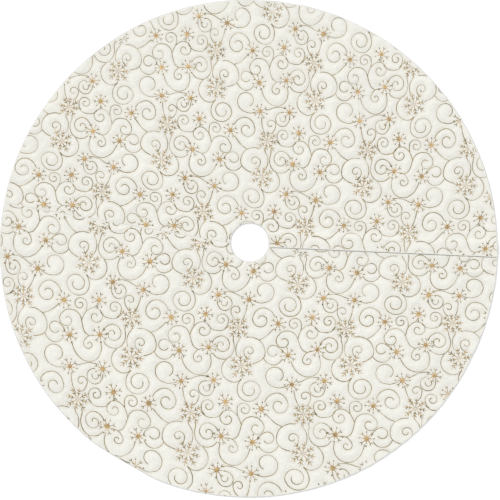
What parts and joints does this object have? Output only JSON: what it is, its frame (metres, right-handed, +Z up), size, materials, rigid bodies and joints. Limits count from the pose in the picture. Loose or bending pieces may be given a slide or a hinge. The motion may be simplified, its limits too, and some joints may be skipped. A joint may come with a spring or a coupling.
{
  "type": "tree skirt",
  "caption": "Round lined plush tree skirt with a trunk hole and an opening slit held by hook-and-loop tape, laid flat; gold scroll and snowflake pattern.",
  "frame": {"origin": "middle of the rim circle on the floor", "axes": "+Z up, through the cloth; +X along the opening slit, from the trunk hole to the rim"},
  "size_m": [1.2199, 1.2199, 0.0066],
  "materials": {
    "plush": "short-pile cream plush with gold foil print",
    "lining": "smooth ivory woven lining",
    "thread": "spun polyester sewing thread",
    "hook_and_loop_tape": "white woven hook-and-loop tape"
  },
  "bodies": {
    "lower_half": {"lower_face": "plush", "lower_lining": "lining", "underlap_strip": "lining", "lower_edge_thread": "thread", "panel_seam_thread": "thread", "loop_tape_1": "hook_and_loop_tape", "loop_tape_2": "hook_and_loop_tape", "loop_tape_3": "hook_and_loop_tape", "loop_tape_stitching_1": "thread", "loop_tape_stitching_2": "thread", "loop_tape_stitching_3": "thread"},
    "upper_half": {"upper_face": "plush", "upper_lining": "lining", "upper_rim_thread": "thread", "upper_neck_thread": "thread"},
    "opening_flap": {"flap_face": "plush", "flap_lining": "lining", "flap_edge_thread": "thread", "hook_tape_1": "hook_and_loop_tape", "hook_tape_2": "hook_and_loop_tape", "hook_tape_3": "hook_and_loop_tape", "hook_tape_stitching_1": "thread", "hook_tape_stitching_2": "thread", "hook_tape_stitching_3": "thread"}
  },
  "joints": [
    {"name": "seam_fold", "type": "hinge", "parent": "lower_half", "child": "upper_half", "pos_m": [0, 0.005, 0.0044], "axis": [0.9912, -0.1323, 0], "range_deg": [0, 165]},
    {"name": "flap_fold", "type": "hinge", "parent": "upper_half", "child": "opening_flap", "pos_m": [0.03191, 0.0506, 0.0044], "axis": [-0.8309, -0.5564, 0], "range_deg": [0, 165]}
  ]
}
